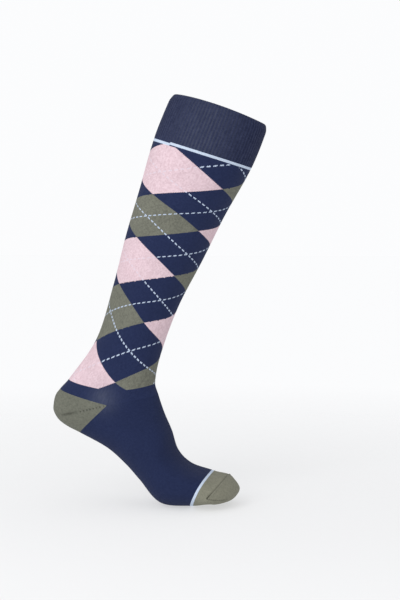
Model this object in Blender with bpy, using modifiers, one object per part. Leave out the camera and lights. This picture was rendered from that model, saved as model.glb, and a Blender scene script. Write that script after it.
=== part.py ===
"""Knee-high riding sock, in the shape it takes on a leg that stands on its toes.

Metres, +Z up, toes towards +X, and the outer side of the foot towards -Y.
The origin is the centre of the cuff's mouth, where the leg goes in.
The sock is one knitted tube with two pockets in it: the heel and the toe.
Each knitted section is a solid of its own.
"""

import math

import bmesh
import bpy
import numpy as np

# The leg, from the cuff's mouth down to the heel's first course
LEG_LENGTH = 0.360
LEG_LEAN = math.radians(21.5)
CALF_DEPTH = 0.118
CALF_WIDTH = 0.110
CUFF_HEIGHT = 0.048
LEG_STRIPE = 0.0028

# The foot, from the gore's tip at the ankle forward
FOOT_LENGTH = 0.243
FOOT_WIDTH = 0.086
FOOT_PITCH = math.radians(38.0)
HEEL_DEPTH = 0.061
TOE_LENGTH = 0.0136
TOE_STRIPE = 0.0023
TOE_SKEW = 0.006

# The cloth
CUFF_WALL = 0.0024
LEG_WALL = 0.0012
POCKET_WALL = 0.0016
RIB_COUNT = 84
RIB_RELIEF = 0.0004

# Clearances and mesh steps
GAP = 0.0003
GORE_CLEAR = 0.003
EDGE_ROW = 0.0008
AROUND = 36
LEG_STEPS = 18
FOOT_STEPS = 10
HEEL_STEPS = 9
TOE_STEPS = 7
TOE_TUBE_STEPS = 2
FOLD_STEPS = 4
CUFF_PLACES = (0.03, 0.09, 0.25, 0.6)

# Sections of the leg. at: share of LEG_LENGTH. Drops (down the leg) and
# distances behind or ahead of its axis: shares of CALF_DEPTH.
# half: half width, share of CALF_WIDTH. full: roundness exponent of the back.
# kink: 0 where a course bows smoothly round the side, 1 where it bends sharply.
LEG_COLUMNS = (
    "at", "back_drop", "back", "side_drop", "side", "front_drop", "front", "half", "full", "kink",
)
LEG_ROWS = (
    (0.000, -0.027, 0.463, -0.073, 0.000, -0.075, 0.455, 0.455, 2.0, 0.0),
    (0.008, -0.027, 0.478, -0.073, 0.000, -0.075, 0.480, 0.480, 2.0, 0.0),
    (0.030, -0.026, 0.497, -0.063, 0.000, -0.076, 0.500, 0.491, 2.0, 0.0),
    (0.139, 0.035, 0.503, 0.000, -0.008, -0.035, 0.493, 0.500, 2.0, 0.0),
    (0.309, 0.040, 0.458, 0.000, -0.026, -0.040, 0.420, 0.464, 2.0, 0.0),
    (0.463, 0.022, 0.424, 0.000, -0.024, -0.022, 0.375, 0.409, 2.0, 0.0),
    (0.632, 0.013, 0.365, 0.000, -0.024, -0.013, 0.317, 0.355, 2.0, 0.0),
    (0.805, 0.065, 0.332, 0.000, 0.020, -0.042, 0.325, 0.309, 2.0, 0.0),
    (0.946, 0.111, 0.448, 0.000, 0.052, -0.175, 0.376, 0.300, 2.1, 0.5),
    (1.000, 0.079, 0.498, 0.000, 0.059, -0.242, 0.450, 0.305, 2.2, 1.0),
)

# Back of the heel pocket, from below its first course to its last.
# along: share of FOOT_LENGTH. rise: share of HEEL_DEPTH. full: as above.
HEEL_COLUMNS = ("along", "rise", "full")
HEEL_ROWS = (
    (-0.247, -0.613, 2.3),
    (-0.228, -0.772, 2.4),
    (-0.207, -0.874, 2.5),
    (-0.160, -0.948, 2.5),
    (-0.103, -0.938, 2.5),
    (-0.035, -0.880, 2.4),
)

# Sections of the foot ahead of the heel. Alongs: shares of FOOT_LENGTH.
# Rises: shares of HEEL_DEPTH. half: half width, share of FOOT_WIDTH.
# full: roundness exponent of the sole. kink: as above.
FOOT_COLUMNS = (
    "at", "sole_along", "sole_rise", "side_along", "side_rise",
    "top_along", "top_rise", "half", "full", "kink",
)
FOOT_ROWS = (
    (0.138, 0.115, -0.764, 0.138, -0.048, 0.224, 0.462, 0.395, 2.4, 0.6),
    (0.276, 0.233, -0.775, 0.270, -0.130, 0.305, 0.271, 0.419, 2.4, 0.2),
    (0.400, 0.338, -0.826, 0.372, -0.350, 0.391, 0.043, 0.453, 2.4, 0.0),
    (0.504, 0.489, -0.910, 0.475, -0.380, 0.483, 0.001, 0.488, 2.4, 0.0),
    (0.588, 0.613, -0.567, 0.589, -0.120, 0.582, 0.136, 0.488, 2.4, 0.4),
    (0.650, 0.676, -0.289, 0.650, -0.139, 0.655, 0.305, 0.476, 2.4, 1.0),
)

# Middle of the toe pocket, from under the toes round the tip to the seam.
# along, rise and full: as above. skew: share of TOE_SKEW, to the inner side.
TOE_COLUMNS = ("along", "rise", "skew", "full")
TOE_ROWS = (
    (0.707, -0.205, 0.5, 2.3),
    (0.744, -0.012, 0.9, 2.2),
    (0.748, 0.134, 1.0, 2.2),
    (0.739, 0.208, 1.0, 2.2),
    (0.700, 0.276, 0.6, 2.1),
)
SEAM_FULL = 2.0


def leg_point(along, ahead):
    """Point of the middle plane, by its place down the leg and ahead of its axis."""
    x = ahead * math.cos(LEG_LEAN) - along * math.sin(LEG_LEAN)
    z = -ahead * math.sin(LEG_LEAN) - along * math.cos(LEG_LEAN)
    return np.array((x, 0.0, z))


def foot_point(gore, along, rise, skew=0.0):
    """Point of the foot, by its place ahead of and above the gore's tip."""
    x = along * math.cos(FOOT_PITCH) + rise * math.sin(FOOT_PITCH)
    z = rise * math.cos(FOOT_PITCH) - along * math.sin(FOOT_PITCH)
    return gore + np.array((x, skew, z))


class Smooth:
    """Smooth curve through values at rising knots."""

    def __init__(self, knots, values):
        self.knots = list(knots)
        self.values = [np.asarray(value, dtype=float) for value in values]
        self.slopes = [self.slope(i) for i in range(len(self.knots))]

    def slope(self, i):
        """Slope at a knot, from the knots on both sides of it."""
        low = max(i - 1, 0)
        high = min(i + 1, len(self.knots) - 1)
        return (self.values[high] - self.values[low]) / (self.knots[high] - self.knots[low])

    def __call__(self, place):
        last = len(self.knots) - 2
        i = 0
        while i < last and place > self.knots[i + 1]:
            i += 1
        span = self.knots[i + 1] - self.knots[i]
        t = (place - self.knots[i]) / span
        start = self.values[i] * (1 + 2 * t) * (1 - t) ** 2 + self.slopes[i] * span * t * (1 - t) ** 2
        end = self.values[i + 1] * (3 - 2 * t) * t ** 2 + self.slopes[i + 1] * span * (t - 1) * t ** 2
        return start + end


def chord_knots(points, start):
    """Knots from the distances between points, counted on from start."""
    knots = [start]
    for here, there in zip(points, points[1:]):
        knots.append(knots[-1] + float(np.linalg.norm(there - here)))
    return knots


class Form:
    """The sock's outer surface, as rings down its length."""

    def __init__(self):
        leg = [dict(zip(LEG_COLUMNS, row)) for row in LEG_ROWS]
        foot = [dict(zip(FOOT_COLUMNS, row)) for row in FOOT_ROWS]
        heel = [dict(zip(HEEL_COLUMNS, row)) for row in HEEL_ROWS]
        toe = [dict(zip(TOE_COLUMNS, row)) for row in TOE_ROWS]

        leg_at = [row["at"] * LEG_LENGTH for row in leg]
        backs = [leg_point(at + row["back_drop"] * CALF_DEPTH, -row["back"] * CALF_DEPTH)
                 for at, row in zip(leg_at, leg)]
        fronts = [leg_point(at + row["front_drop"] * CALF_DEPTH, row["front"] * CALF_DEPTH)
                  for at, row in zip(leg_at, leg)]
        sides = [leg_point(at + row["side_drop"] * CALF_DEPTH, row["side"] * CALF_DEPTH)
                 for at, row in zip(leg_at, leg)]
        self.gore = sides[-1]

        foot_at = [LEG_LENGTH + row["at"] * FOOT_LENGTH for row in foot]
        soles = [self.place(row["sole_along"], row["sole_rise"]) for row in foot]
        tops = [self.place(row["top_along"], row["top_rise"]) for row in foot]
        sides += [self.place(row["side_along"], row["side_rise"]) for row in foot]
        heel_mid = [self.place(row["along"], row["rise"]) for row in heel]
        toe_mid = [self.place(row["along"], row["rise"], row["skew"]) for row in toe]

        # The outline of the middle plane is one smooth curve: down the back,
        # round the heel, along the sole, round the toe and up the front again.
        heel_knots = chord_knots([backs[-1]] + heel_mid, leg_at[-1])
        self.heel_start = heel_knots[0]
        self.heel_end = heel_knots[-1]
        self.sole_shift = self.heel_end - LEG_LENGTH
        sole_knots = [at + self.sole_shift for at in foot_at]
        toe_knots = chord_knots([soles[-1]] + toe_mid + [tops[-1]], sole_knots[-1])
        self.toe_start = toe_knots[0]
        self.toe_end = toe_knots[-1]
        self.tube_end = foot_at[-1]
        self.turn = self.toe_end + self.tube_end
        down_knots = leg_at + heel_knots[1:] + sole_knots
        up_knots = [self.turn - at for at in reversed(leg_at + foot_at)]
        self.outline = Smooth(
            down_knots + toe_knots[1:-1] + up_knots,
            backs + heel_mid + soles + toe_mid + tops[::-1] + fronts[::-1],
        )
        self.side = Smooth(leg_at + foot_at, sides)
        halves = [row["half"] * CALF_WIDTH for row in leg]
        halves += [row["half"] * FOOT_WIDTH for row in foot]
        self.half = Smooth(leg_at + foot_at, halves)
        self.kink = Smooth(leg_at + foot_at, [row["kink"] for row in leg + foot])
        self.full = Smooth(
            down_knots + toe_knots[1:],
            [row["full"] for row in leg + heel + foot + toe] + [SEAM_FULL],
        )

    def place(self, along, rise, skew=0.0):
        """Foot point from a table's shares."""
        return foot_point(self.gore, along * FOOT_LENGTH, rise * HEEL_DEPTH, skew * TOE_SKEW)

    def section(self, at):
        """Sizes of the ring at a place down the tube."""
        behind = at if at <= LEG_LENGTH else at + self.sole_shift
        return {
            "back": self.outline(behind),
            "side": self.side(at),
            "front": self.outline(self.turn - at),
            "half": float(self.half(at)),
            "full": float(self.full(behind)),
            "kink": float(self.kink(at)),
        }

    def heel_section(self, share):
        """Back half ring of the heel pocket, from 0 at its top to 1 at the sole."""
        at = self.heel_start + share * (self.heel_end - self.heel_start)
        return self.outline(at), self.gore, float(self.half(LEG_LENGTH)), float(self.full(at))

    def toe_section(self, share):
        """Outer half ring of the toe pocket, from 0 under the toes to 1 at the seam."""
        at = self.toe_start + share * (self.toe_end - self.toe_start)
        side = self.side(self.tube_end)
        return self.outline(at), side, float(self.half(self.tube_end)), float(self.full(at))


def rounded(value, full):
    """Sine or cosine, squared off by a roundness exponent."""
    return math.copysign(abs(value) ** (2.0 / full), value)


def half_point(out, side, half, full, angle):
    """Point of a half ring: 0 at its outermost point, 90 degrees at the side."""
    point = side + (out - side) * rounded(math.cos(angle), full)
    point[1] += rounded(math.sin(angle), full) * half
    return point


def ring_point(section, angle, inset):
    """Point of a ring: 0 at the front, 90 degrees at the outer side, 180 at the back."""
    back, side, front = section["back"], section["side"], section["front"]
    ahead = math.cos(angle)
    full = section["full"] if ahead < 0 else SEAM_FULL
    reach = rounded(ahead, full)
    middle = (front + back) / 2
    smooth = middle + (front - back) / 2 * reach + (side - middle) * (1 - reach ** 2)
    sharp = side + ((front if ahead > 0 else back) - side) * abs(reach)
    point = smooth + (sharp - smooth) * section["kink"]
    depth = float(np.linalg.norm(front - back)) / 2
    point -= (front - back) / 2 / depth * reach * inset
    point[1] -= rounded(math.sin(angle), full) * (section["half"] - inset)
    return point


def ring(section, count, inset=0.0, relief=0.0):
    """Closed ring of a section, from the front round by -Y, with every second point raised."""
    points = []
    for i in range(count):
        lift = relief / 2 if i % 2 else -relief / 2
        points.append(ring_point(section, 2.0 * math.pi * i / count, inset - lift))
    return points


def steps(start, end, count):
    """Evenly spaced places from start to end, both included."""
    return [start + (end - start) * i / count for i in range(count + 1)]


def edged_steps(start, end, count):
    """Evenly spaced places, with one more row beside each end to keep its wall square."""
    places = steps(start, end, count)
    edge = min(EDGE_ROW, (end - start) / count / 3)
    return [start, start + edge] + places[1:-1] + [end - edge, end]


def new_object(collection, name, mesh, material):
    """Named object with its own material, in the part's collection."""
    obj = bpy.data.objects.new(name, mesh)
    collection.objects.link(obj)
    mesh.materials.append(material)
    return obj


def mesh_from_rows(name, rows, around, lengthwise):
    """Mesh through rows of points; around and lengthwise say which ways it closes."""
    bm = bmesh.new()
    verts = [[bm.verts.new(point) for point in row] for row in rows]
    row_count = len(rows)
    count = len(rows[0])
    for r in range(row_count if lengthwise else row_count - 1):
        for i in range(count if around else count - 1):
            here, below = verts[r], verts[(r + 1) % row_count]
            j = (i + 1) % count
            bm.faces.new((here[i], here[j], below[j], below[i]))
    mesh = bpy.data.meshes.new(name)
    bm.to_mesh(mesh)
    bm.free()
    mesh.shade_smooth()
    return mesh


def add_wall(obj, wall):
    """Give an open surface its thickness, towards the inside."""
    solidify = obj.modifiers.new("wall", "SOLIDIFY")
    solidify.thickness = wall
    solidify.offset = -1.0
    solidify.use_even_offset = True


def make_material(name, colour, roughness):
    """Plain knit material."""
    material = bpy.data.materials.new(name)
    material.use_nodes = True
    shader = material.node_tree.nodes["Principled BSDF"]
    shader.inputs["Base Color"].default_value = (*colour, 1.0)
    shader.inputs["Roughness"].default_value = roughness
    shader.inputs["Metallic"].default_value = 0.0
    material.diffuse_color = (*colour, 1.0)
    return material


def make_cuff(form, collection):
    """Double ribbed welt: up the outside, over a round fold and down the inside."""
    radius = CUFF_WALL / 2
    end = CUFF_HEIGHT - GAP / 2
    down = [radius + (end - radius) * share for share in (0.0, *CUFF_PLACES, 1.0)]
    laps = [(at, 0.0) for at in reversed(down)]
    for angle in steps(0.0, math.pi, FOLD_STEPS)[1:-1]:
        laps.append((radius * (1 - math.sin(angle)), radius * (1 - math.cos(angle))))
    laps += [(at, CUFF_WALL) for at in down[::2] + down[-1:]]
    rows = [ring(form.section(at), 2 * RIB_COUNT, inset, RIB_RELIEF) for at, inset in laps]
    mesh = mesh_from_rows("cuff", rows[::-1], True, True)
    return new_object(collection, "cuff", mesh, make_material("cuff_knit", (0.030, 0.040, 0.085), 0.9))


def make_tube(form, collection, name, places, material):
    """Length of plain tube through rings at these places."""
    rows = [ring(form.section(at), AROUND) for at in places]
    tube = new_object(collection, name, mesh_from_rows(name, rows, True, False), material)
    add_wall(tube, LEG_WALL)
    return tube


def make_heel(form, collection):
    """Heel pocket: half rings that fan out from the gore's tips on both sides."""
    edge = math.acos(GORE_CLEAR / float(form.half(LEG_LENGTH)))
    wales = []
    for angle in steps(-edge, edge, AROUND // 2):
        wale = [half_point(*form.heel_section(share), angle) for share in steps(0.0, 1.0, HEEL_STEPS)]
        length = sum(float(np.linalg.norm(low - high)) for high, low in zip(wale, wale[1:]))
        places = edged_steps(GAP / 2, length - GAP / 2, HEEL_STEPS)
        wales.append([half_point(*form.heel_section(place / length), angle) for place in places])
    mesh = mesh_from_rows("heel", list(zip(*wales)), False, False)
    heel = new_object(collection, "heel", mesh, make_material("heel_knit", (0.16, 0.17, 0.15), 0.9))
    add_wall(heel, POCKET_WALL)
    return heel


def make_toe(form, collection):
    """Toe section: a short tube, then a pocket that fans round the tip to the seam."""
    start = form.tube_end - TOE_LENGTH + GAP / 2
    rows = [ring(form.section(at), AROUND) for at in edged_steps(start, form.tube_end, TOE_TUBE_STEPS)]
    bm = bmesh.new()
    tube = [[bm.verts.new(point) for point in row] for row in rows]
    for high, low in zip(tube, tube[1:]):
        for i in range(AROUND):
            j = (i + 1) % AROUND
            bm.faces.new((high[i], high[j], low[j], low[i]))
    last = tube[-1]
    quarter = AROUND // 4
    near, far = last[quarter], last[3 * quarter]
    fan = [last[quarter + 1:3 * quarter]]
    for share in steps(0.0, 1.0, TOE_STEPS)[1:-1]:
        section = form.toe_section(share)
        angles = [math.radians(-90.0 + 90.0 * i / quarter) for i in range(1, 2 * quarter)]
        fan.append([bm.verts.new(half_point(*section, angle)) for angle in angles])
    top = [last[(quarter - 1 - i) % AROUND] for i in range(2 * quarter - 1)]
    fan.append(top)
    for high, low in zip(fan, fan[1:]):
        bm.faces.new((near, high[0], low[0]))
        for i in range(len(high) - 1):
            bm.faces.new((high[i], high[i + 1], low[i + 1], low[i]))
        bm.faces.new((high[-1], far, low[-1]))
    mesh = bpy.data.meshes.new("toe")
    bm.to_mesh(mesh)
    bm.free()
    mesh.shade_smooth()
    toe = new_object(collection, "toe", mesh, make_material("toe_knit", (0.19, 0.19, 0.17), 0.9))
    add_wall(toe, POCKET_WALL)
    return toe


def main():
    """Clear the scene and build the sock."""
    for obj in list(bpy.data.objects):
        bpy.data.objects.remove(obj, do_unlink=True)
    collection = bpy.data.collections.new("riding_sock")
    bpy.context.scene.collection.children.link(collection)
    form = Form()
    half_gap = GAP / 2
    light = (0.50, 0.62, 0.80)
    dark = (0.022, 0.030, 0.070)
    leg_start = CUFF_HEIGHT + LEG_STRIPE
    toe_start = form.tube_end - TOE_LENGTH
    foot_end = toe_start - TOE_STRIPE
    make_cuff(form, collection)
    make_tube(form, collection, "cuff_stripe", (CUFF_HEIGHT + half_gap, leg_start - half_gap),
              make_material("cuff_stripe_knit", light, 0.9))
    make_tube(form, collection, "leg",
              edged_steps(leg_start + half_gap, LEG_LENGTH - half_gap, LEG_STEPS),
              make_material("leg_knit", (0.55, 0.42, 0.48), 0.9))
    make_heel(form, collection)
    make_tube(form, collection, "foot",
              edged_steps(LEG_LENGTH + half_gap, foot_end - half_gap, FOOT_STEPS),
              make_material("foot_knit", dark, 0.9))
    make_tube(form, collection, "toe_stripe", (foot_end + half_gap, toe_start - half_gap),
              make_material("toe_stripe_knit", light, 0.9))
    make_toe(form, collection)


main()
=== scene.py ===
"""Knitted surface, pattern and seams of the riding sock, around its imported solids."""

import math

import bpy
import numpy as np
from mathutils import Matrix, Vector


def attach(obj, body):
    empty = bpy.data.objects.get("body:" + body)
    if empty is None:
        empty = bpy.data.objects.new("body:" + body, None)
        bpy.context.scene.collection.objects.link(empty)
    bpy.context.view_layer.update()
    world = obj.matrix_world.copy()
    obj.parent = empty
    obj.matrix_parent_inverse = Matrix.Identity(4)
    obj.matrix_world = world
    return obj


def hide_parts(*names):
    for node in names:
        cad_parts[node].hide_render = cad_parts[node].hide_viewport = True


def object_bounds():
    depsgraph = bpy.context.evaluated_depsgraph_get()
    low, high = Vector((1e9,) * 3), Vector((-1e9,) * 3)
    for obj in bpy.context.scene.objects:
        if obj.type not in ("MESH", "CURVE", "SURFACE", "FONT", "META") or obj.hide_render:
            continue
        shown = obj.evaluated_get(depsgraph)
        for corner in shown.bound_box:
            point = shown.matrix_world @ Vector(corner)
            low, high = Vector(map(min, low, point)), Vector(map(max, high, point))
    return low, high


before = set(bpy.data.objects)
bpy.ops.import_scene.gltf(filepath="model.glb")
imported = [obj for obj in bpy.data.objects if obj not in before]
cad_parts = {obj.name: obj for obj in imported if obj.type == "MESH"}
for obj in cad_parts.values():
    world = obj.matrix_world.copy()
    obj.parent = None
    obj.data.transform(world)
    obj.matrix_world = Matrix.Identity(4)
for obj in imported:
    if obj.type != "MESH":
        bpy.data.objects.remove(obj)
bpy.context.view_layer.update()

# The form, in metres, as the solids have it
LEG_LENGTH = 0.360
LEG_LEAN = math.radians(21.5)
CALF_DEPTH = 0.118
CALF_WIDTH = 0.110
CUFF_HEIGHT = 0.048
LEG_STRIPE = 0.0028
FOOT_LENGTH = 0.243
FOOT_WIDTH = 0.086
FOOT_PITCH = math.radians(38.0)
HEEL_DEPTH = 0.061
TOE_LENGTH = 0.0136
TOE_STRIPE = 0.0023
TOE_SKEW = 0.006
CUFF_WALL = 0.0024
LEG_WALL = 0.0012
POCKET_WALL = 0.0016

# The knitting
WALES = 168
RIBS = 84
DIAMOND_WALES = 84
DIAMOND_COURSES = 84
PATTERN_END = 4.62
FOOT_COURSE = 0.00074
COLUMN_STEP = DIAMOND_WALES / 2
STRIPE_JOG = 0.0012
DASH_WALES = 3.5
DASH_SHARE = 0.6
LINE_HALF_COURSES = 0.8
WALE_DEPTH = 0.00012

# The cuff's ribs
RIB_COLUMNS = 6
RIB_DEPTH = 0.00042
RIB_SQUARENESS = 0.7
RIB_FADE_LENGTH = 0.0035
RIB_FADE_LEAST = 0.25
INNER_RIB = 0.6
RIB_SHADE = 0.36
RIB_CONTRAST = 0.30
RIB_PATCHES = 0.9
RIB_SPECKS = 0.5
FOLD_POINTS = 5
FOLD_COURSE = 0.4
# Paler grooves on the cuff's middle: stretched grooves showing their pale core, and painted light where
# the light falls
CUFF_STRETCH_AND_LIGHT = 0.35

# The heel's gore line, its holes and the crease at its end; places in wales
GORE_LINE = 0.0009
HEEL_MARGIN = 0.006
HEEL_WALE_DEPTH = 0.00005
HEEL_LINE_WALES = 27.0
HEEL_HOLE_WALES = 17.0
HEEL_HOLE_DEPTH = 0.0005
# Painted shade inside the heel's holes
HEEL_HOLE_PAINTED_SHADE = 0.55
HEEL_LINE_TONE = 0.10
CREASE_WALE = 24.0
CREASE_WALES = 5.0
CREASE_WIDTH = 0.0014
CREASE_DEPTH = 0.0014
# Painted shade in the heel's crease
CREASE_PAINTED_SHADE = 0.5

# The toe's linked seam and gore line
SEAM_RIDGE = 0.0007
SEAM_WIDTH = 0.0012
SEAM_STITCH = 0.0016
PUCKER = 0.006
TOE_LINE_WALES = 22
TOE_LINE_DEPTH = 0.00030
# Painted shade in the holes of the toe's gore line
TOE_LINE_PAINTED_SHADE = 0.55

# The stretched cloth ahead of the heel's corners
STRETCH_OFFSET = (-0.005, 0.0, 0.008)
STRETCH_TONE = 0.30
STRETCH_SIZE = 0.016

# The meshes
TUBE_COLUMNS = 336
LEG_RINGS = 220
FOOT_RINGS = 110
CUFF_RINGS = 34
CUFF_CROWDING = 1.4
CUFF_INNER_RINGS = 12
HEEL_RINGS = 61
HEEL_POINTS = 170
TOE_TUBE_RINGS = 22
TOE_TUBE_CROWDING = 1.5
TOE_RINGS = 100
TOE_CROWDING = 1.3
TRACE_POINTS = 721
TURN_POINTS = 1441
PAST_LEG = 1e-6

# The cotton's finish
ROUGHNESS = 0.92
SPECULAR = 0.12
SHEEN = 0.03
SHEEN_ROUGHNESS = 0.45
BUMP_STRENGTH = 0.7
STITCH_HEIGHT = 0.00022
STITCH_LEAN = 0.8
FUZZ_SCALE = 2600.0
FUZZ_SHARE = 0.5
CLOUD_SCALE = 45.0
CLOUD_SHARE = 0.22
SPECK_COURSES = 2.0
STREAK_CONTRAST = 1.1
THREAD_CONTRAST = 1.4
THREAD_LEAST = 0.3

# The photograph's view, in pixels of its 400 by 600 frame, and the light
IMAGE_WIDTH = 400
IMAGE_HEIGHT = 600
FOCAL_PIXELS = 1277.0
CONTACT_PIXEL_X = 190.0
VIEW_AZIMUTH = math.radians(10.0)
VIEW_PITCH = math.radians(3.1)
VIEW_DISTANCE = 1.491
VIEW_HEIGHT = 0.320
SENSOR = 36.0
CONTACT = (-0.0335, 0.0, -0.455)
KEY_POWER = 26.0
KEY_SIZE = (1.4, 1.8)
KEY_OFFSET = (-0.8, -2.0, 0.9)
KEY_TARGET = (-0.05, 0.0, -0.2)
SKY_LIGHT = 0.78
SKY_COLOUR = (0.97, 0.975, 0.985, 1.0)
FLOOR_SIZE = 30.0
FLOOR_COLOUR = (0.90, 0.90, 0.905, 1.0)
FLOOR_ROUGHNESS = 0.8
FLOOR_SPECULAR = 0.1
FLOOR_GLOW = (0.955, 0.96, 0.97, 1.0)
FLOOR_GLOW_SHARE = 0.55
FLOOR_NEAR = 0.25
FLOOR_FAR = 1.2
FLOOR_EASING = 0.2

LEG_COLUMNS = (
    "at", "back_drop", "back", "side_drop", "side", "front_drop", "front", "half", "full", "kink",
)
LEG_ROWS = (
    (0.000, -0.027, 0.463, -0.073, 0.000, -0.075, 0.455, 0.455, 2.0, 0.0),
    (0.008, -0.027, 0.478, -0.073, 0.000, -0.075, 0.480, 0.480, 2.0, 0.0),
    (0.030, -0.026, 0.497, -0.063, 0.000, -0.076, 0.500, 0.491, 2.0, 0.0),
    (0.139, 0.035, 0.503, 0.000, -0.008, -0.035, 0.493, 0.500, 2.0, 0.0),
    (0.309, 0.040, 0.458, 0.000, -0.026, -0.040, 0.420, 0.464, 2.0, 0.0),
    (0.463, 0.022, 0.424, 0.000, -0.024, -0.022, 0.375, 0.409, 2.0, 0.0),
    (0.632, 0.013, 0.365, 0.000, -0.024, -0.013, 0.317, 0.355, 2.0, 0.0),
    (0.805, 0.065, 0.332, 0.000, 0.020, -0.042, 0.325, 0.309, 2.0, 0.0),
    (0.946, 0.111, 0.448, 0.000, 0.052, -0.175, 0.376, 0.300, 2.1, 0.5),
    (1.000, 0.079, 0.498, 0.000, 0.059, -0.242, 0.450, 0.305, 2.2, 1.0),
)
HEEL_COLUMNS = ("along", "rise", "full")
HEEL_ROWS = (
    (-0.247, -0.613, 2.3),
    (-0.228, -0.772, 2.4),
    (-0.207, -0.874, 2.5),
    (-0.160, -0.948, 2.5),
    (-0.103, -0.938, 2.5),
    (-0.035, -0.880, 2.4),
)
FOOT_COLUMNS = (
    "at", "sole_along", "sole_rise", "side_along", "side_rise",
    "top_along", "top_rise", "half", "full", "kink",
)
FOOT_ROWS = (
    (0.138, 0.115, -0.764, 0.138, -0.048, 0.224, 0.462, 0.395, 2.4, 0.6),
    (0.276, 0.233, -0.775, 0.270, -0.130, 0.305, 0.271, 0.419, 2.4, 0.2),
    (0.400, 0.338, -0.826, 0.372, -0.350, 0.391, 0.043, 0.453, 2.4, 0.0),
    (0.504, 0.489, -0.910, 0.475, -0.380, 0.483, 0.001, 0.488, 2.4, 0.0),
    (0.588, 0.613, -0.567, 0.589, -0.120, 0.582, 0.136, 0.488, 2.4, 0.4),
    (0.650, 0.676, -0.289, 0.650, -0.139, 0.655, 0.305, 0.476, 2.4, 1.0),
)
TOE_COLUMNS = ("along", "rise", "skew", "full")
TOE_ROWS = (
    (0.707, -0.205, 0.5, 2.3),
    (0.744, -0.012, 0.9, 2.2),
    (0.748, 0.134, 1.0, 2.2),
    (0.739, 0.208, 1.0, 2.2),
    (0.700, 0.276, 0.6, 2.1),
)
SEAM_FULL = 2.0

# How the pattern lies on the leg. height: diamonds below the stripe.
# at: share of LEG_LENGTH. turn: share of a round from the front to the middle
# between the two columns of diamonds that face outwards. spread: share of a
# round from the one column to the other.
PATTERN_COLUMNS = ("height", "at", "turn", "spread")
PATTERN_ROWS = (
    (-0.9, 0.000, 0.220, 0.236),
    (0.0, 0.1365, 0.220, 0.237),
    (0.5, 0.2267, 0.220, 0.229),
    (1.0, 0.305, 0.219, 0.237),
    (1.5, 0.376, 0.226, 0.214),
    (2.0, 0.454, 0.237, 0.229),
    (2.5, 0.533, 0.2485, 0.225),
    (3.0, 0.619, 0.262, 0.231),
    (3.5, 0.708, 0.290, 0.203),
    (4.0, 0.809, 0.328, 0.233),
    (4.62, 0.950, 0.344, 0.238),
    (4.83, 1.000, 0.350, 0.238),
)


def leg_point(along, ahead):
    """Point of the middle plane, by its place down the leg and ahead of its axis."""
    x = ahead * math.cos(LEG_LEAN) - along * math.sin(LEG_LEAN)
    z = -ahead * math.sin(LEG_LEAN) - along * math.cos(LEG_LEAN)
    return np.array((x, 0.0, z))


def foot_point(gore, along, rise, skew=0.0):
    """Point of the foot, by its place ahead of and above the gore's tip."""
    x = along * math.cos(FOOT_PITCH) + rise * math.sin(FOOT_PITCH)
    z = rise * math.cos(FOOT_PITCH) - along * math.sin(FOOT_PITCH)
    return gore + np.array((x, skew, z))


class Smooth:
    """Smooth curve through values at rising knots."""

    def __init__(self, knots, values):
        self.knots = list(knots)
        self.values = [np.asarray(value, dtype=float) for value in values]
        self.slopes = [self.slope(i) for i in range(len(self.knots))]

    def slope(self, i):
        """Slope at a knot, from the knots on both sides of it."""
        low = max(i - 1, 0)
        high = min(i + 1, len(self.knots) - 1)
        return (self.values[high] - self.values[low]) / (self.knots[high] - self.knots[low])

    def __call__(self, place):
        last = len(self.knots) - 2
        i = 0
        while i < last and place > self.knots[i + 1]:
            i += 1
        span = self.knots[i + 1] - self.knots[i]
        t = (place - self.knots[i]) / span
        start = self.values[i] * (1 + 2 * t) * (1 - t) ** 2 + self.slopes[i] * span * t * (1 - t) ** 2
        end = self.values[i + 1] * (3 - 2 * t) * t ** 2 + self.slopes[i + 1] * span * (t - 1) * t ** 2
        return start + end


def chord_knots(points, start):
    """Knots from the distances between points, counted on from start."""
    knots = [start]
    for here, there in zip(points, points[1:]):
        knots.append(knots[-1] + float(np.linalg.norm(there - here)))
    return knots


def rounded(values, full):
    """Sines or cosines, squared off by a roundness exponent."""
    return np.sign(values) * np.abs(values) ** (2.0 / full)


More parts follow.
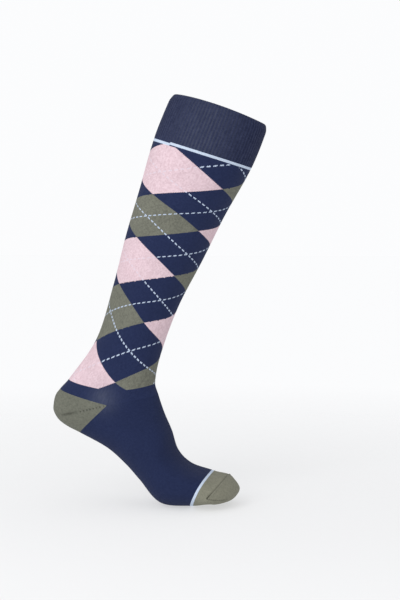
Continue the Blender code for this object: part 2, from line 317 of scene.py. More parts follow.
class Form:
    """The sock's outer surface, as rings down its length."""

    def __init__(self):
        leg = [dict(zip(LEG_COLUMNS, row)) for row in LEG_ROWS]
        foot = [dict(zip(FOOT_COLUMNS, row)) for row in FOOT_ROWS]
        heel = [dict(zip(HEEL_COLUMNS, row)) for row in HEEL_ROWS]
        toe = [dict(zip(TOE_COLUMNS, row)) for row in TOE_ROWS]

        leg_at = [row["at"] * LEG_LENGTH for row in leg]
        backs = [leg_point(at + row["back_drop"] * CALF_DEPTH, -row["back"] * CALF_DEPTH)
                 for at, row in zip(leg_at, leg)]
        fronts = [leg_point(at + row["front_drop"] * CALF_DEPTH, row["front"] * CALF_DEPTH)
                  for at, row in zip(leg_at, leg)]
        sides = [leg_point(at + row["side_drop"] * CALF_DEPTH, row["side"] * CALF_DEPTH)
                 for at, row in zip(leg_at, leg)]
        self.gore = sides[-1]

        foot_at = [LEG_LENGTH + row["at"] * FOOT_LENGTH for row in foot]
        soles = [self.place(row["sole_along"], row["sole_rise"]) for row in foot]
        tops = [self.place(row["top_along"], row["top_rise"]) for row in foot]
        sides += [self.place(row["side_along"], row["side_rise"]) for row in foot]
        heel_mid = [self.place(row["along"], row["rise"]) for row in heel]
        toe_mid = [self.place(row["along"], row["rise"], row["skew"]) for row in toe]

        heel_knots = chord_knots([backs[-1]] + heel_mid, leg_at[-1])
        self.heel_start = heel_knots[0]
        self.heel_end = heel_knots[-1]
        self.sole_shift = self.heel_end - LEG_LENGTH
        sole_knots = [at + self.sole_shift for at in foot_at]
        toe_knots = chord_knots([soles[-1]] + toe_mid + [tops[-1]], sole_knots[-1])
        self.toe_start = toe_knots[0]
        self.toe_end = toe_knots[-1]
        self.tube_end = foot_at[-1]
        self.turn = self.toe_end + self.tube_end
        down_knots = leg_at + heel_knots[1:] + sole_knots
        up_knots = [self.turn - at for at in reversed(leg_at + foot_at)]
        self.outline = Smooth(
            down_knots + toe_knots[1:-1] + up_knots,
            backs + heel_mid + soles + toe_mid + tops[::-1] + fronts[::-1],
        )
        self.side = Smooth(leg_at + foot_at, sides)
        halves = [row["half"] * CALF_WIDTH for row in leg]
        halves += [row["half"] * FOOT_WIDTH for row in foot]
        self.half = Smooth(leg_at + foot_at, halves)
        self.kink = Smooth(leg_at + foot_at, [row["kink"] for row in leg + foot])
        self.full = Smooth(
            down_knots + toe_knots[1:],
            [row["full"] for row in leg + heel + foot + toe] + [SEAM_FULL],
        )

    def place(self, along, rise, skew=0.0):
        """Foot point from a table's shares."""
        return foot_point(self.gore, along * FOOT_LENGTH, rise * HEEL_DEPTH, skew * TOE_SKEW)

    def ring(self, at, angles):
        """Ring at a place: angle 0 at the front, 90 degrees at the outer side, 180 at the back."""
        behind = at if at <= LEG_LENGTH else at + self.sole_shift
        back, side, front = self.outline(behind), self.side(at), self.outline(self.turn - at)
        ahead, across = np.cos(angles), np.sin(angles)
        full = np.where(ahead < 0, float(self.full(behind)), SEAM_FULL)
        reach = rounded(ahead, full)[:, None]
        middle = (front + back) / 2
        smooth = middle + (front - back) / 2 * reach + (side - middle) * (1 - reach ** 2)
        sharp = side + np.where(reach > 0, front - side, back - side) * np.abs(reach)
        points = smooth + (sharp - smooth) * float(self.kink(at))
        points[:, 1] -= rounded(across, full) * float(self.half(at))
        return points

    def fan(self, start, end, hub, share, angles):
        """Half ring of a pocket: angle 0 at its outermost point, 90 degrees at the inner side."""
        at = start + share * (end - start)
        full = float(self.full(at))
        side = self.side(hub)
        points = side + (self.outline(at) - side) * rounded(np.cos(angles), full)[:, None]
        points[:, 1] += rounded(np.sin(angles), full) * float(self.half(hub))
        return points

    def heel(self, share, angles):
        """Half ring of the heel pocket, from 0 at its top to 1 at the sole."""
        return self.fan(self.heel_start, self.heel_end, LEG_LENGTH, share, angles)

    def toe(self, share, angles):
        """Half ring of the toe pocket, from 0 under the toes to 1 at the seam."""
        return self.fan(self.toe_start, self.toe_end, self.tube_end, share, angles)


FORM = Form()
FOOT_START = LEG_LENGTH + PAST_LEG
TOE_START = FORM.tube_end - TOE_LENGTH
FOOT_END = TOE_START - TOE_STRIPE
LEG_START = CUFF_HEIGHT + LEG_STRIPE

pattern = [dict(zip(PATTERN_COLUMNS, row)) for row in PATTERN_ROWS]
pattern_at = [row["at"] * LEG_LENGTH for row in pattern]
HEIGHT_AT = Smooth(pattern_at, [row["height"] for row in pattern])
TURN_AT = Smooth(pattern_at, [row["turn"] for row in pattern])
SPREAD_AT = Smooth(pattern_at, [row["spread"] for row in pattern])


def course_at(at):
    """Courses below the stripe at a place down the tube."""
    if at <= LEG_LENGTH:
        return float(HEIGHT_AT(at)) * DIAMOND_COURSES
    return float(HEIGHT_AT(LEG_LENGTH)) * DIAMOND_COURSES + (at - LEG_LENGTH) / FOOT_COURSE


def even_points(trace, places, low, high):
    """Points at equal steps of length along a curve that trace draws between two angles."""
    angles = np.linspace(low, high, TRACE_POINTS)
    points = trace(angles)
    lengths = np.concatenate(([0.0], np.cumsum(np.linalg.norm(np.diff(points, axis=0), axis=1))))
    return trace(np.interp(places * lengths[-1], lengths, angles))


def wale_ring(at, wales):
    """Ring at a place, with a point on each wale; wale 0 is the round's start, behind the side."""
    level = min(at, LEG_LENGTH)
    half = float(SPREAD_AT(level)) / 2
    gather = (COLUMN_STEP / WALES / 2 - half) / math.sin(4 * math.pi * half)
    offsets = np.linspace(-0.5, 0.5, TURN_POINTS)
    numbers = WALES * (offsets + gather * np.sin(4 * np.pi * offsets)) - COLUMN_STEP / 2
    turned = (wales - numbers[0]) % WALES + numbers[0]
    places = (float(TURN_AT(level)) + np.interp(turned, numbers, offsets)) % 1.0
    return even_points(lambda angles: FORM.ring(at, angles), places, 0.0, 2 * math.pi)


def outward(points, wrap):
    """Unit normals of a grid of points whose rows run down and columns run round by -Y."""
    down = np.gradient(points, axis=0)
    if wrap:
        around = np.roll(points, -1, axis=1) - np.roll(points, 1, axis=1)
    else:
        around = np.gradient(points, axis=1)
    normals = np.cross(around, down)
    return normals / np.maximum(np.linalg.norm(normals, axis=2, keepdims=True), 1e-12)


class Cloth:
    """Collects the points, faces and knit coordinates of one piece."""

    def __init__(self):
        self.points, self.faces, self.knit, self.tone = [], [], [], []
        self.rims = []
        self.count = 0

    def add_grid(self, points, tone=None):
        """Add a grid of points; returns their numbers."""
        rows, columns = points.shape[:2]
        numbers = np.arange(rows * columns).reshape(rows, columns) + self.count
        self.count += rows * columns
        self.points.append(points.reshape(-1, 3))
        self.tone.append(np.zeros(rows * columns) if tone is None else np.asarray(tone).reshape(-1))
        return numbers

    def add_faces(self, corners, knit):
        """Add faces with the knit coordinates of their corners."""
        self.faces.append(corners.reshape(-1, corners.shape[-1]))
        self.knit.append(knit.reshape(-1, 2))

    def add_fan(self, numbers, wales, courses, flip=False):
        """Faces of a grid whose first and last columns are one point each."""
        self.add_sheet(numbers[:, 1:-1], wales[1:-1], courses[:, 1:-1], False, flip=flip)
        knit = np.stack((np.broadcast_to(wales, numbers.shape), courses), axis=-1)
        for corners in (((0, 0), (0, 1), (1, 1)), ((0, -2), (0, -1), (1, -2))):
            order = corners[::-1] if flip else corners
            rows = len(numbers)
            corner = [numbers[r:rows - 1 + r, c] for r, c in order]
            where = [knit[r:rows - 1 + r, c] for r, c in order]
            self.add_faces(np.stack(corner, axis=-1), np.stack(where, axis=-2))

    def add_sheet(self, numbers, wales, courses, wrap, flip=False):
        """Faces of a grid; wales number its columns, and courses its rows or points."""
        if courses.ndim == 1:
            courses = np.repeat(courses[:, None], numbers.shape[1], axis=1)
        wales = np.broadcast_to(wales, numbers.shape)
        if wrap:
            numbers = np.concatenate((numbers, numbers[:, :1]), axis=1)
            step = wales[:, 1:2] - wales[:, 0:1]
            wales = np.concatenate((wales, wales[:, -1:] + step), axis=1)
            courses = np.concatenate((courses, courses[:, :1]), axis=1)
        knit = np.stack((wales, courses), axis=-1)
        order = ((0, 0), (0, 1), (1, 1), (1, 0)) if not flip else ((0, 0), (1, 0), (1, 1), (0, 1))
        rows, columns = numbers.shape
        corner = [numbers[r:rows - 1 + r, c:columns - 1 + c] for r, c in order]
        where = [knit[r:rows - 1 + r, c:columns - 1 + c] for r, c in order]
        self.add_faces(np.stack(corner, axis=-1), np.stack(where, axis=-2))

    def finish(self, name, material):
        """Turn the collected faces into an object."""
        mesh = bpy.data.meshes.new(name)
        points = np.concatenate(self.points)
        corners = np.concatenate([faces.ravel() for faces in self.faces])
        sizes = np.concatenate([np.full(len(faces), faces.shape[1]) for faces in self.faces])
        knit = np.concatenate(self.knit)
        mesh.vertices.add(len(points))
        mesh.vertices.foreach_set("co", points.ravel())
        mesh.loops.add(len(corners))
        mesh.loops.foreach_set("vertex_index", corners)
        mesh.polygons.add(len(sizes))
        mesh.polygons.foreach_set("loop_start", np.cumsum(sizes) - sizes)
        mesh.update(calc_edges=True)
        layer = mesh.uv_layers.new(name="knit")
        layer.data.foreach_set("uv", knit.ravel())
        tone = mesh.attributes.new("tone", "FLOAT", "POINT")
        tone.data.foreach_set("value", np.concatenate(self.tone))
        mesh.validate()
        mesh.shade_smooth()
        rim = np.zeros(len(points), dtype=int)
        for number, loop in enumerate(self.rims):
            rim[np.asarray(loop).ravel()] = number + 1
        ends = np.empty(len(mesh.edges) * 2, dtype=np.int32)
        mesh.edges.foreach_get("vertices", ends)
        low, high = rim[ends[0::2]], rim[ends[1::2]]
        sharp = mesh.attributes.new("sharp_edge", "BOOLEAN", "EDGE")
        sharp.data.foreach_set("value", (low == high) & (low > 0))
        mesh.materials.append(material)
        piece = bpy.data.objects.new(name, mesh)
        bpy.context.scene.collection.objects.link(piece)
        return piece


def knit_tube(name, start, end, rings, inner_rings, material, tone=None):
    """Tube with a ridge on each wale outside and a plain inside, closed at both edges."""
    places = np.linspace(start, end, rings)
    wales = np.arange(TUBE_COLUMNS) * WALES / TUBE_COLUMNS
    outside = np.array([wale_ring(at, wales) for at in places])
    courses = np.array([course_at(at) for at in places])
    normals = outward(outside, True)
    height = WALE_DEPTH / 2 * np.cos(2 * np.pi * (wales - 0.5))
    keep = np.unique(np.linspace(0, rings - 1, inner_rings).astype(int))
    inside = (outside - normals * LEG_WALL)[keep]
    cloth = Cloth()
    shade = tone(outside) if tone else None
    outer = cloth.add_grid(outside + normals * height[None, :, None], shade)
    inner = cloth.add_grid(inside, shade[keep] if tone else None)
    cloth.add_sheet(outer, wales, courses, True)
    cloth.add_sheet(inner, wales, courses[keep], True, flip=True)
    cloth.add_sheet(np.stack((inner[0], outer[0])), wales, courses[[0, 0]], True)
    cloth.add_sheet(np.stack((outer[-1], inner[-1])), wales, courses[[-1, -1]], True)
    cloth.rims = [outer[0], inner[0], outer[-1], inner[-1]]
    return cloth.finish(name, material)


class Maths:
    """Short names for the maths nodes of one material."""

    def __init__(self, tree):
        self.tree = tree

    def link(self, value, socket):
        """Join a node's output to a socket, or set the socket's number."""
        if isinstance(value, bpy.types.NodeSocket):
            self.tree.links.new(value, socket)
        else:
            socket.default_value = value

    def op(self, operation, *values, clamp=False):
        """Maths node of any operation."""
        node = self.tree.nodes.new("ShaderNodeMath")
        node.operation = operation
        node.use_clamp = clamp
        for value, socket in zip(values, node.inputs):
            self.link(value, socket)
        return node.outputs[0]

    def add(self, a, b):
        return self.op("ADD", a, b)

    def sub(self, a, b):
        return self.op("SUBTRACT", a, b)

    def mul(self, a, b):
        return self.op("MULTIPLY", a, b)

    def floor(self, a):
        return self.op("FLOOR", a)

    def fract(self, a):
        return self.op("FRACT", a)

    def off_centre(self, a):
        """How far the fraction of a number is from one half."""
        return self.op("ABSOLUTE", self.sub(self.fract(a), 0.5))

    def less(self, a, b):
        return self.op("LESS_THAN", a, b)

    def either(self, a, b):
        return self.op("MAXIMUM", a, b)

    def odd(self, a):
        """1 where a whole number is odd."""
        return self.op("FLOORED_MODULO", a, 2.0)

    def blend(self, share, low, high):
        """Colour mix: low at 0, high at 1."""
        node = self.tree.nodes.new("ShaderNodeMix")
        node.data_type = "RGBA"
        self.link(share, node.inputs["Factor"])
        for value, socket in ((low, node.inputs["A"]), (high, node.inputs["B"])):
            self.link(value, socket)
        return node.outputs["Result"]

    def vector(self, x, y):
        """Vector of two values and a zero."""
        node = self.tree.nodes.new("ShaderNodeCombineXYZ")
        for value, socket in zip((x, y), node.inputs):
            self.link(value, socket)
        return node.outputs[0]

    def noise(self, vector, scale, detail=2.0):
        """Soft noise between 0 and 1."""
        node = self.tree.nodes.new("ShaderNodeTexNoise")
        self.link(vector, node.inputs["Vector"])
        node.inputs["Scale"].default_value = scale
        node.inputs["Detail"].default_value = detail
        return node.outputs["Fac"]

    def random(self, vector):
        """Random number for each whole vector."""
        node = self.tree.nodes.new("ShaderNodeTexWhiteNoise")
        self.link(vector, node.inputs["Vector"])
        return node.outputs["Value"]


def srgb(red, green, blue):
    """Linear colour of a colour given as it shows, from 0 to 255."""
    def linear(value):
        share = value / 255
        return share / 12.92 if share <= 0.04045 else ((share + 0.055) / 1.055) ** 2.4
    return (linear(red), linear(green), linear(blue), 1.0)


NAVY = srgb(40, 49, 82)
NAVY_DEEP = srgb(32, 41, 73)
# The foot's navy: the leg's navy yarn made darker, painted shade on the foot
FOOT_NAVY_SHADED = srgb(37, 46, 78)
FOOT_NAVY_SHADED_DEEP = srgb(30, 39, 70)
# Pale colour of stretched cloth, also used for painted light on the cuff's middle
PALE_STRETCH_AND_LIGHT = srgb(98, 103, 120)
# The cuff's two colours: painted shade in the grooves and painted light on the ribs
CUFF_GROOVE = srgb(28, 35, 63)
CUFF_RIDGE = srgb(54, 60, 87)
PINK = srgb(230, 206, 214)
PINK_DEEP = srgb(211, 184, 192)
OLIVE = srgb(124, 125, 113)
OLIVE_DEEP = srgb(102, 103, 94)
HEEL_OLIVE = srgb(118, 119, 108)
HEEL_OLIVE_DEEP = srgb(96, 98, 89)
# The toe's olive: the same olive yarn made lighter, painted light where the toe faces up and takes light
# from the floor
TOE_OLIVE_LIT = srgb(141, 140, 125)
TOE_OLIVE_LIT_DEEP = srgb(119, 119, 105)
BLUE = srgb(208, 220, 237)
BLUE_DEEP = srgb(188, 203, 225)
THREAD = srgb(190, 204, 226)
THREAD_ON_PINK = srgb(222, 206, 217)


def knit_material(name, colour):
    """Cotton knit: a colour from colour(maths, wale, course), with its stitches as bump."""
    material = bpy.data.materials.new(name)
    material.use_nodes = True
    tree = material.node_tree
    shader = tree.nodes["Principled BSDF"]
    maths = Maths(tree)
    where = tree.nodes.new("ShaderNodeUVMap")
    where.uv_map = "knit"
    split = tree.nodes.new("ShaderNodeSeparateXYZ")
    tree.links.new(where.outputs["UV"], split.inputs[0])
    wale, course = split.outputs[0], split.outputs[1]
    tone = tree.nodes.new("ShaderNodeAttribute")
    tone.attribute_name = "tone"
    place = tree.nodes.new("ShaderNodeTexCoord").outputs["Object"]

    base = colour(maths, wale, course)
    cloudy = maths.noise(place, CLOUD_SCALE, 3.0)
    # Positive tone blends towards the pale colour: stretched cloth, and painted light on the cuff's middle
    stretch_and_light = maths.op("MAXIMUM", tone.outputs["Fac"], 0.0)
    threads = maths.noise(maths.vector(maths.mul(wale, 0.8), maths.mul(course, 0.09)), 1.0)
    stretch_and_light = maths.mul(stretch_and_light, maths.add(maths.mul(threads, THREAD_CONTRAST), THREAD_LEAST))
    base = maths.blend(stretch_and_light, base, PALE_STRETCH_AND_LIGHT)
    # Negative tone darkens the colour: painted shade in the heel's crease, in holes along the gore lines
    # and in the toe seam's groove
    painted_shade = maths.op("MINIMUM", tone.outputs["Fac"], 0.0)
    shade = maths.add(maths.mul(maths.sub(cloudy, 0.5), CLOUD_SHARE), maths.add(painted_shade, 1.0))
    scaled = tree.nodes.new("ShaderNodeVectorMath")
    scaled.operation = "SCALE"
    tree.links.new(base, scaled.inputs[0])
    tree.links.new(shade, scaled.inputs["Scale"])
    tree.links.new(scaled.outputs[0], shader.inputs["Base Color"])

    # Each stitch is two legs that lean together, one course high
    leg = maths.mul(maths.off_centre(wale), 2.0)
    lean = maths.fract(maths.add(course, maths.mul(leg, STITCH_LEAN)))
    plump = maths.op("SINE", maths.mul(lean, math.pi))
    body = maths.op("SQRT", maths.op("ABSOLUTE", maths.op("SINE", maths.mul(leg, math.pi))))
    height = maths.mul(body, maths.add(maths.mul(plump, 0.6), 0.4))
    fuzz = maths.noise(place, FUZZ_SCALE)
    height = maths.add(height, maths.mul(fuzz, FUZZ_SHARE))
    bump = tree.nodes.new("ShaderNodeBump")
    bump.inputs["Strength"].default_value = BUMP_STRENGTH
    bump.inputs["Distance"].default_value = STITCH_HEIGHT
    tree.links.new(height, bump.inputs["Height"])
    tree.links.new(bump.outputs["Normal"], shader.inputs["Normal"])

    shader.inputs["Roughness"].default_value = ROUGHNESS
    shader.inputs["Specular IOR Level"].default_value = SPECULAR
    shader.inputs["Sheen Weight"].default_value = SHEEN
    shader.inputs["Sheen Roughness"].default_value = SHEEN_ROUGHNESS
    return material


def speckled(maths, wale, course, dark, light, amount):
    """Colour of one yarn, with small changes from stitch to stitch."""
    cell = maths.vector(maths.floor(wale), maths.floor(maths.mul(course, 1.0 / SPECK_COURSES)))
    streak = maths.noise(maths.vector(maths.mul(wale, 0.9), maths.mul(course, 0.22)), 1.0)
    specks = maths.mul(maths.random(cell), amount)
    value = maths.add(specks, maths.mul(maths.sub(streak, 0.5), STREAK_CONTRAST))
    value = maths.op("ADD", value, 0.5 - amount / 2, clamp=True)
    return maths.blend(value, dark, light)


def plain(dark, light, amount):
    """Colour function of a plain piece."""
    def colour(maths, wale, course):
        return speckled(maths, wale, course, dark, light, amount)
    return colour


def ribbed(maths, wale, course):
    """Cuff: the ribs catch more light than the grooves between them."""
    ridge = maths.op("COSINE", maths.mul(wale, math.pi))
    patch = maths.noise(maths.vector(maths.mul(wale, 0.35), maths.mul(course, 0.12)), 1.0, 3.0)
    speck = maths.random(maths.vector(maths.floor(wale), maths.floor(course)))
    share = maths.add(maths.mul(ridge, RIB_CONTRAST), RIB_SHADE)
    share = maths.add(share, maths.mul(maths.sub(patch, 0.5), RIB_PATCHES))
    share = maths.op("ADD", share, maths.mul(maths.sub(speck, 0.5), RIB_SPECKS), clamp=True)
    return maths.blend(share, CUFF_GROOVE, CUFF_RIDGE)


def stripe_above_leg(maths, wale, course):
    """Light stripe that starts and ends one course apart where its round begins."""
    turned = maths.fract(maths.mul(wale, 1.0 / WALES))
    drop = maths.mul(maths.sub(1.0, turned), STRIPE_JOG / LEG_STRIPE)
    below_cuff = maths.sub(course, course_at(CUFF_HEIGHT))
    level = maths.sub(maths.mul(below_cuff, 1.0 / STRIPE_COURSES), drop)
    inside = maths.less(maths.op("ABSOLUTE", maths.sub(level, 0.5)), 0.5)
    light = speckled(maths, wale, course, BLUE_DEEP, BLUE, 0.5)
    return maths.blend(inside, NAVY, light)


STRIPE_COURSES = course_at(LEG_START) - course_at(CUFF_HEIGHT)


def argyle(maths, wale, course):
    """Diamonds in two columns, with dashed lines through their middles."""
    whole_wale = maths.add(maths.floor(wale), 0.5)
    whole_course = maths.add(maths.floor(course), 0.5)
    across = maths.mul(whole_wale, 1.0 / DIAMOND_WALES)
    down = maths.mul(whole_course, 1.0 / DIAMOND_COURSES)
    rising, falling = maths.add(down, across), maths.sub(down, across)
    rank, file = maths.floor(rising), maths.floor(falling)
    dark = maths.odd(maths.sub(rank, file))
    below = maths.less(PATTERN_END, down)
    above = maths.less(down, 0.0)
    plain_band = maths.either(below, above)
    dark = maths.either(dark, plain_band)
    olive = maths.odd(rank)

    navy = speckled(maths, wale, course, NAVY_DEEP, NAVY, 0.6)
    pink = speckled(maths, wale, course, PINK_DEEP, PINK, 0.75)
    green = speckled(maths, wale, course, OLIVE_DEEP, OLIVE, 0.7)
    ground = maths.blend(dark, maths.blend(olive, pink, green), navy)

    def line(slope):
        off = maths.mul(maths.sub(maths.fract(slope), 0.5), DIAMOND_COURSES)
        return maths.less(maths.op("ABSOLUTE", maths.sub(off, 0.5)), LINE_HALF_COURSES)

    dashes = maths.less(maths.fract(maths.mul(wale, 1.0 / DASH_WALES)), DASH_SHARE)
    lines = maths.mul(maths.either(line(rising), line(falling)), dashes)
    lines = maths.mul(lines, maths.sub(1.0, plain_band))
    light_ground = maths.mul(maths.sub(1.0, dark), maths.sub(1.0, olive))
    thread = maths.blend(light_ground, THREAD, THREAD_ON_PINK)
    return maths.blend(lines, ground, thread)


def gore_tone(points):
    """Paler cloth where it is stretched, ahead of the heel's corners."""
    centre = FORM.side(LEG_LENGTH) + np.array(STRETCH_OFFSET)
    side = float(FORM.half(LEG_LENGTH))
    tone = np.zeros(points.shape[:2])
    for sign in (-1.0, 1.0):
        middle = centre + np.array((0.0, sign * side, 0.0))
        distance = np.linalg.norm(points - middle, axis=-1)
        tone += STRETCH_TONE * np.exp(-(distance / STRETCH_SIZE) ** 2)
    return tone


def make_cuff():
    """Double welt, ribbed outside and in, with a round fold at its edge."""
    columns = RIBS * RIB_COLUMNS
    wales = np.arange(columns) * WALES / columns
    radius = CUFF_WALL / 2
    down = radius + (CUFF_HEIGHT - radius) * np.linspace(0.0, 1.0, CUFF_RINGS) ** CUFF_CROWDING
    rings = np.array([wale_ring(at, wales) for at in down])
    courses = np.array([course_at(at) for at in down])
    normals = outward(rings, True)
    profile = np.cos(np.pi * wales)
    fade = np.clip(down / RIB_FADE_LENGTH, RIB_FADE_LEAST, 1.0)[:, None]
    height = RIB_DEPTH / 2 * np.sign(profile) * np.abs(profile) ** RIB_SQUARENESS * fade
    outer = rings + normals * height[..., None]
    inner = rings - normals * (CUFF_WALL - height * INNER_RIB)[..., None]
    centre = rings[0] - normals[0] * radius
    up = -np.gradient(rings, axis=0)[0]
    up /= np.linalg.norm(up, axis=1, keepdims=True)
    fold = []
    for angle in np.linspace(0, math.pi, FOLD_POINTS + 2)[1:-1]:
        out = normals[0] * (math.cos(angle) * (radius + height[0, :, None] * math.cos(angle)))
        fold.append(centre + out + up * (radius * math.sin(angle)))
    keep = np.unique(np.linspace(0, len(down) - 1, CUFF_INNER_RINGS).astype(int))
    rows = np.concatenate((outer[::-1], np.array(fold), inner[keep]))
    fold_courses = courses[0] - np.arange(1, FOLD_POINTS + 1) * FOLD_COURSE
    levels = np.concatenate((courses[::-1], fold_courses, courses[keep]))
    outside = np.concatenate((np.ones(len(down)), np.zeros(len(rows) - len(down))))
    # Grooves paler towards the two sides furthest out in Y: partly stretched grooves, partly painted light
    # on the middle that faces the light
    open_and_lit_side = (rows[..., 1] / rows[..., 1].max()) ** 4
    tone = CUFF_STRETCH_AND_LIGHT * open_and_lit_side * outside[:, None] * (0.5 - 0.5 * profile)
    cloth = Cloth()
    numbers = cloth.add_grid(rows, tone)
    cloth.add_sheet(numbers, wales, levels, True, flip=True)
    cloth.add_sheet(np.stack((numbers[-1], numbers[0])), wales, levels[[-1, 0]], True, flip=True)
    cloth.rims = [numbers[0], numbers[-1]]
    return cloth.finish("cuff_knit", knit_material("cuff_cotton", ribbed))


def make_heel():
    """Heel pocket: wales that turn at the gore line, from one side's corner to the other's."""
    places = np.linspace(HEEL_MARGIN, 1.0 - HEEL_MARGIN, HEEL_POINTS)
    shares = np.linspace(0.0, 1.0, HEEL_RINGS)
    grid = []
    for share in shares:
        grid.append(even_points(lambda a: FORM.heel(share, a), places, -math.pi / 2, math.pi / 2))
    grid = np.array(grid)
    normals = outward(grid, False)
    lengths = np.linalg.norm(np.diff(grid, axis=0), axis=2).sum(axis=0)
    wales = places * DIAMOND_WALES
    from_corner = np.minimum(wales, DIAMOND_WALES - wales)
    half_way = np.abs(shares[:, None] - 0.5)
    to_gore = half_way * lengths[None, :]
    courses = (0.5 - half_way) * lengths[None, :] / FOOT_COURSE
    on_gore = (from_corner < HEEL_LINE_WALES) * np.exp(-(to_gore / GORE_LINE) ** 2)
    crease = np.exp(-((from_corner - CREASE_WALE) / CREASE_WALES) ** 2)
    crease = crease * np.exp(-(to_gore / CREASE_WIDTH) ** 2)
    holes = (np.cos(np.pi * wales) > 0.2) * (from_corner < HEEL_HOLE_WALES)
    height = HEEL_WALE_DEPTH * np.cos(2 * np.pi * (wales - 0.5))
    height = height - HEEL_HOLE_DEPTH * on_gore * holes - CREASE_DEPTH * crease
    # The holes are painted darker, painted shade inside them; the line between them is paler
    tone = HEEL_LINE_TONE * on_gore * (1 - holes) - HEEL_HOLE_PAINTED_SHADE * on_gore * holes
    # The crease is also painted darker: painted shade in it
    tone = tone - CREASE_PAINTED_SHADE * crease
    cloth = Cloth()
    outer = cloth.add_grid(grid + normals * height[..., None], tone)
    inner = cloth.add_grid(grid - normals * POCKET_WALL)
    cloth.add_sheet(outer, wales, courses, False)
    cloth.add_sheet(inner, wales, courses, False, flip=True)
    edges = (
        (np.s_[0, :], True),
        (np.s_[-1, :], False),
        (np.s_[:, 0], False),
        (np.s_[:, -1], True),
    )
    for edge, flip in edges:
        pair = np.stack((outer[edge], inner[edge]))
        cloth.add_sheet(pair, wales[0], np.zeros(2), False, flip=flip)
    for grid_numbers in (outer, inner):
        around = (grid_numbers[0], grid_numbers[-1], grid_numbers[:, 0], grid_numbers[:, -1])
        cloth.rims.append(np.concatenate(around))
    return cloth.finish("heel_knit", knit_material("heel_cotton", plain(HEEL_OLIVE_DEEP, HEEL_OLIVE, 0.5)))


def lengths_from_end(points):
    """Distance of each point from the last row, along its column."""
    steps = np.linalg.norm(np.diff(points, axis=0), axis=2)
    return np.concatenate((np.cumsum(steps[::-1], axis=0)[::-1], np.zeros((1, points.shape[1]))))


def seam_shape(away, from_corner, behind):
    """Relief and tone of the linked seam, by the distance from it and from the seam's end; the tone is
    painted shade in its groove and at the pucker, with paler dots on the ridge.
    """
    pucker = np.exp(-(from_corner / PUCKER) ** 2)
    ridge = np.exp(-((away - SEAM_WIDTH) / SEAM_WIDTH) ** 2)
    groove = np.exp(-(away / SEAM_WIDTH) ** 2)
    if behind:
        height = -SEAM_RIDGE * groove * (0.5 + 1.6 * pucker)
        # The groove behind the seam is painted darker, most at the pucker: painted shade
        return height, -groove * (0.30 + 0.35 * pucker)
    dots = 0.5 + 0.5 * np.cos(2 * np.pi * from_corner / SEAM_STITCH)
    height = SEAM_RIDGE * ridge * (0.6 + 0.4 * dots)
    # Paler dots on the ridge, and painted shade in the groove between them
    tone = ridge * (0.10 * dots - 0.03) - 0.2 * groove * (1 - dots)
    return height, tone


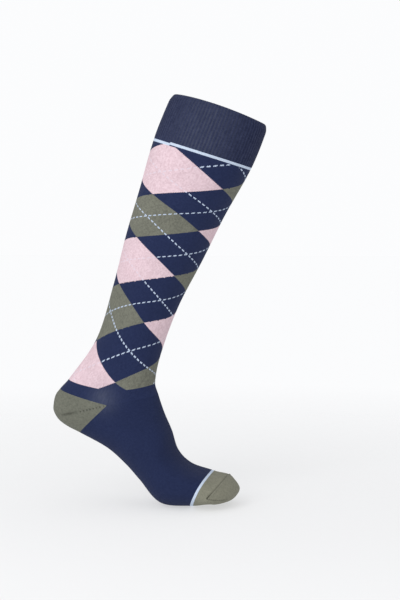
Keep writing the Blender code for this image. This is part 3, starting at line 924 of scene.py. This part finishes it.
def make_toe():
    """Toe section: a short tube, then the pocket, which meets the tube in a linked seam."""
    places = np.linspace(0.0, 1.0, WALES + 1)
    fine = (1.0 - np.linspace(0.0, 1.0, TOE_TUBE_RINGS)) ** TOE_TUBE_CROWDING
    tube = []
    for at in FORM.tube_end - (FORM.tube_end - TOE_START) * fine:
        sole = even_points(lambda a: FORM.ring(at, a), places, math.pi / 2, 1.5 * math.pi)
        top = even_points(lambda a: FORM.ring(at, a), places, 1.5 * math.pi, 2.5 * math.pi)
        tube.append(np.concatenate((sole[:-1], top[:-1])))
    tube = np.array(tube)
    fan = []
    for share in 1.0 - (1.0 - np.linspace(0.0, 1.0, TOE_RINGS)) ** TOE_CROWDING:
        fan.append(even_points(lambda a: FORM.toe(share, a), places, -math.pi / 2, math.pi / 2))
    fan = np.array(fan)
    half_turn = np.arange(WALES + 1)
    over = (2 * WALES - half_turn) % (2 * WALES)
    tube_normals = outward(tube, True)
    fan_normals = outward(fan, False)
    fan_normals[0], fan_normals[-1] = tube_normals[-1, half_turn], tube_normals[-1, over]
    fan_normals[:, 0], fan_normals[:, -1] = tube_normals[-1, 0], tube_normals[-1, WALES]

    # Distances along the seam from its nearer end, and from the seam
    arc = np.concatenate(([0.0], np.cumsum(np.linalg.norm(np.diff(fan[-1], axis=0), axis=1))))
    along = np.minimum(arc, arc[-1] - arc)
    tube_along = np.full(2 * WALES, 1.0)
    tube_along[over] = along
    tube_away = lengths_from_end(tube) + (tube_along > 0.9)
    fan_away = lengths_from_end(fan)
    tube_height, tube_tone = seam_shape(tube_away, tube_along[None, :], True)
    fan_height, fan_tone = seam_shape(fan_away, along[None, :], False)
    middle = np.abs(fan_away - fan_away[:1] / 2)
    corner = np.minimum(half_turn, WALES - half_turn) / 2
    gore = np.exp(-(middle / GORE_LINE) ** 2) * (corner < TOE_LINE_WALES)
    stitches = 0.6 + 0.4 * np.cos(np.pi * half_turn / 2.0)
    # The toe's gore line is painted darker at its stitches: painted shade in its holes
    fan_tone = fan_tone - TOE_LINE_PAINTED_SHADE * gore * stitches
    fan_height = fan_height - TOE_LINE_DEPTH * gore * stitches
    fan_height[:, [0, -1]] = tube_height[-1, [0, WALES]]
    knit_wales = half_turn / 2.0
    knit_courses = np.minimum(fan_away, fan_away[:1] - fan_away) / FOOT_COURSE
    tube_wales = np.arange(2 * WALES) / 2.0
    tube_courses = np.array([(1.0 - share) * TOE_LENGTH / FOOT_COURSE for share in fine])

    cloth = Cloth()
    skins = []
    for inset in (0.0, POCKET_WALL):
        lift = 0.0 if inset else 1.0
        tube_points = tube + tube_normals * (tube_height * lift - inset)[..., None]
        fan_points = fan + fan_normals * (fan_height * lift - inset)[..., None]
        ring_numbers = cloth.add_grid(tube_points, tube_tone * lift)
        inside = cloth.add_grid(fan_points[1:-1, 1:-1], fan_tone[1:-1, 1:-1] * lift)
        numbers = np.empty(fan.shape[:2], dtype=int)
        numbers[1:-1, 1:-1] = inside
        numbers[0], numbers[-1] = ring_numbers[-1, half_turn], ring_numbers[-1, over]
        numbers[:, 0], numbers[:, -1] = ring_numbers[-1, 0], ring_numbers[-1, WALES]
        cloth.add_sheet(ring_numbers, tube_wales, tube_courses, True, flip=bool(inset))
        cloth.add_fan(numbers, knit_wales, knit_courses, flip=bool(inset))
        skins.append(ring_numbers)
    cloth.add_sheet(np.stack((skins[1][0], skins[0][0])), tube_wales, tube_courses[[0, 0]], True)
    cloth.rims = [skins[0][0], skins[1][0]]
    # The toe's olive is painted lighter: painted light
    return cloth.finish("toe_knit", knit_material("toe_cotton", plain(TOE_OLIVE_LIT_DEEP, TOE_OLIVE_LIT, 0.5)))


def add_area(name, size, place, target, power):
    """Soft rectangular light that faces a point."""
    light = bpy.data.lights.new(name, "AREA")
    light.shape = "RECTANGLE"
    light.size, light.size_y = size
    light.energy = power
    lamp = bpy.data.objects.new(name, light)
    bpy.context.scene.collection.objects.link(lamp)
    lamp.location = place
    lamp.rotation_euler = look_along(target - place)


def look_along(direction):
    """Rotation of a camera or light that looks along a direction, upright."""
    x, y, z = direction / np.linalg.norm(direction)
    return (math.acos(-z), 0.0, math.atan2(-x, y))


def floor_paint():
    """White floor that takes soft shadows and fades into the backdrop further off."""
    paint = bpy.data.materials.new("floor_paint")
    paint.use_nodes = True
    tree = paint.node_tree
    maths = Maths(tree)
    shader = tree.nodes["Principled BSDF"]
    shader.inputs["Base Color"].default_value = FLOOR_COLOUR
    shader.inputs["Roughness"].default_value = FLOOR_ROUGHNESS
    shader.inputs["Specular IOR Level"].default_value = FLOOR_SPECULAR
    glow = tree.nodes.new("ShaderNodeEmission")
    glow.inputs["Color"].default_value = FLOOR_GLOW
    lit = tree.nodes.new("ShaderNodeMixShader")
    lit.inputs["Fac"].default_value = FLOOR_GLOW_SHARE
    tree.links.new(shader.outputs[0], lit.inputs[1])
    tree.links.new(glow.outputs[0], lit.inputs[2])
    clear = tree.nodes.new("ShaderNodeBsdfTransparent")
    split = tree.nodes.new("ShaderNodeSeparateXYZ")
    tree.links.new(tree.nodes.new("ShaderNodeTexCoord").outputs["Object"], split.inputs[0])
    squares = [maths.op("POWER", output, 2.0) for output in split.outputs[:2]]
    distance = maths.op("SQRT", maths.add(*squares))
    far = maths.op("DIVIDE", maths.sub(distance, FLOOR_NEAR), FLOOR_FAR - FLOOR_NEAR, clamp=True)
    far = maths.op("SMOOTH_MIN", far, 1.0, FLOOR_EASING)
    fade = tree.nodes.new("ShaderNodeMixShader")
    tree.links.new(far, fade.inputs["Fac"])
    tree.links.new(lit.outputs[0], fade.inputs[1])
    tree.links.new(clear.outputs[0], fade.inputs[2])
    tree.links.new(fade.outputs[0], tree.nodes["Material Output"].inputs["Surface"])
    return paint


def make_view():
    """Camera at the photograph's place, floor under the toes, soft light and a pale world."""
    scene = bpy.context.scene
    right = np.array((math.cos(VIEW_AZIMUTH), math.sin(VIEW_AZIMUTH), 0.0))
    forward = np.array((-math.sin(VIEW_AZIMUTH), math.cos(VIEW_AZIMUTH), 0.0))
    sideways = (CONTACT_PIXEL_X - IMAGE_WIDTH / 2) / FOCAL_PIXELS * VIEW_DISTANCE
    place = np.array(CONTACT) - forward * VIEW_DISTANCE - right * sideways
    place[2] += VIEW_HEIGHT
    lens = bpy.data.cameras.new("view")
    lens.sensor_width = SENSOR
    lens.lens = FOCAL_PIXELS / IMAGE_HEIGHT * SENSOR
    camera = bpy.data.objects.new("view", lens)
    camera.location = place
    camera.rotation_euler = (math.pi / 2 - VIEW_PITCH, 0.0, VIEW_AZIMUTH)
    scene.collection.objects.link(camera)
    scene.camera = camera

    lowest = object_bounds()[0][2]
    bpy.ops.mesh.primitive_plane_add(size=FLOOR_SIZE, location=(CONTACT[0], 0.0, lowest))
    floor = bpy.context.object
    floor.name = "floor"
    floor.data.materials.append(floor_paint())

    world = bpy.data.worlds.new("studio")
    world.use_nodes = True
    tree = world.node_tree
    sky = tree.nodes["Background"]
    sky.inputs["Color"].default_value = SKY_COLOUR
    maths = Maths(tree)
    seen = tree.nodes.new("ShaderNodeLightPath").outputs["Is Camera Ray"]
    strength = maths.add(maths.mul(seen, 1.0 - SKY_LIGHT), SKY_LIGHT)
    tree.links.new(strength, sky.inputs["Strength"])
    scene.world = world
    target = np.array(KEY_TARGET)
    add_area("key", KEY_SIZE, target + np.array(KEY_OFFSET), target, KEY_POWER)
    scene.view_settings.view_transform = "Standard"


def dress():
    """Make every piece and put it in place of its solid."""
    stripe_end = LEG_START + STRIPE_JOG
    above = knit_material("cuff_stripe_cotton", stripe_above_leg)
    diamonds = knit_material("leg_cotton", argyle)
    # The foot's navy is painted darker than the leg's: painted shade
    navy = knit_material("foot_cotton", plain(FOOT_NAVY_SHADED_DEEP, FOOT_NAVY_SHADED, 0.6))
    blue = knit_material("toe_stripe_cotton", plain(BLUE_DEEP, BLUE, 0.5))
    pieces = {
        "cuff": make_cuff(),
        "cuff_stripe": knit_tube("cuff_stripe_knit", CUFF_HEIGHT, stripe_end, 6, 3, above),
        "leg": knit_tube(
            "leg_knit", stripe_end, LEG_LENGTH, LEG_RINGS, 24, diamonds, gore_tone,
        ),
        "heel": make_heel(),
        "foot": knit_tube("foot_knit", FOOT_START, FOOT_END, FOOT_RINGS, 16, navy, gore_tone),
        "toe_stripe": knit_tube("toe_stripe_knit", FOOT_END, TOE_START, 5, 3, blue),
        "toe": make_toe(),
    }
    for node, piece in pieces.items():
        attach(piece, "root")
        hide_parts(node)


dress()
make_view()
